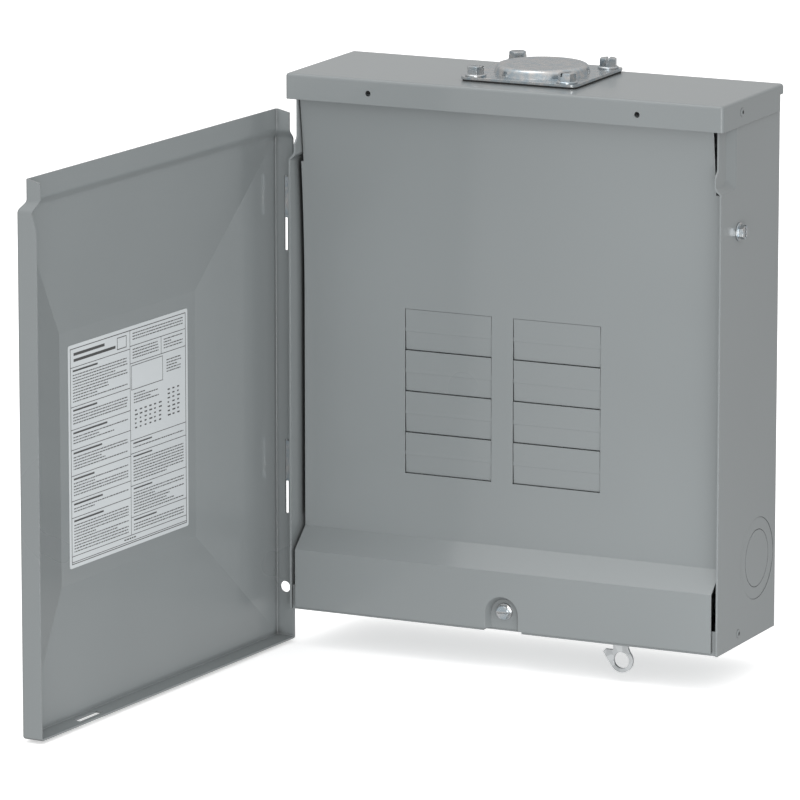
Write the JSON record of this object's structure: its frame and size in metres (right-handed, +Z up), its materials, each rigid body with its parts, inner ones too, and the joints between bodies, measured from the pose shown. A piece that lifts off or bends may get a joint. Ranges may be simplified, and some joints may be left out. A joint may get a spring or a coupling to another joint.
{
  "type": "residential load center",
  "caption": "Outdoor residential load center: rain-capped steel box with a lift-and-swing door, padlock hasp, dead front with twist-outs, and a main-lug interior.",
  "frame": {"origin": "middle of the lower edge of the box's back face, on the wall it hangs on", "axes": "+X to the right facing the open door, +Y towards the wall, +Z up"},
  "size_m": [0.3246, 0.366, 0.3627],
  "materials": {
    "grey_paint": "satin grey powder coat with fine orange peel",
    "zinc_plating": "bright zinc-plated steel",
    "galvanised_steel": "galvanised steel, slightly mottled",
    "tinned_aluminium": "tin-plated aluminium",
    "copper": "bare copper strap",
    "black_phenolic": "moulded black phenolic",
    "gasket_rubber": "closed-cell rubber",
    "label_vinyl": null
  },
  "bodies": {
    "enclosure": {"box_shell": "grey_paint", "bottom_pan": "grey_paint", "rain_cap": "grey_paint", "dead_front": "grey_paint", "twistout_plates": "grey_paint", "right_knockout_slugs": "grey_paint", "left_knockout_slugs": "grey_paint", "bottom_knockout_slugs": "grey_paint", "cap_rivets": "grey_paint", "pan_rivets": "grey_paint", "hub_closure_plate": "zinc_plating", "hub_screws": "zinc_plating", "side_bonding_screw": "zinc_plating", "dead_front_screw": "zinc_plating", "pan_screws": "zinc_plating", "bus_screws": "zinc_plating", "lug_set_screws": "zinc_plating", "neutral_terminal_screws": "zinc_plating", "ground_terminal_screws": "zinc_plating", "ground_bar_screws": "zinc_plating", "bonding_screw": "zinc_plating", "upper_hinge_bracket": "zinc_plating", "lower_hinge_bracket": "zinc_plating", "upper_hinge_pin": "zinc_plating", "lower_hinge_pin": "zinc_plating", "hinge_bracket_rivets": "zinc_plating", "hasp_rivet": "zinc_plating", "hasp_bracket_rivet": "zinc_plating", "dead_front_rail": "galvanised_steel", "interior_pan": "galvanised_steel", "left_hook_rail": "galvanised_steel", "right_hook_rail": "galvanised_steel", "hasp_bracket": "galvanised_steel", "bus_bar_a": "tinned_aluminium", "bus_bar_b": "tinned_aluminium", "main_lug_a": "tinned_aluminium", "main_lug_b": "tinned_aluminium", "neutral_bar": "tinned_aluminium", "neutral_lug": "tinned_aluminium", "ground_bar": "tinned_aluminium", "bonding_strap": "copper", "bus_insulator": "black_phenolic", "neutral_standoffs": "black_phenolic", "hub_gasket": "gasket_rubber"},
    "hinge_hooks": {"upper_hinge_hook": "zinc_plating", "lower_hinge_hook": "zinc_plating"},
    "door": {"door": "grey_paint", "door_label": "label_vinyl"},
    "hasp": {"hasp": "galvanised_steel"}
  },
  "joints": [
    {"name": "door_swing", "type": "hinge", "parent": "enclosure", "child": "hinge_hooks", "pos_m": [-0.1441, -0.0779, 0.15], "axis": [0, 0, -1], "range_deg": [-94, 20]},
    {"name": "door_lift", "type": "slide", "parent": "hinge_hooks", "child": "door", "axis": [0, 0, 1], "range_m": [0, 0.0182]},
    {"name": "hasp_swing", "type": "hinge", "parent": "enclosure", "child": "hasp", "pos_m": [0.0747, -0.0845, 0.022], "axis": [0, -1, 0], "range_deg": [0, 15]}
  ]
}
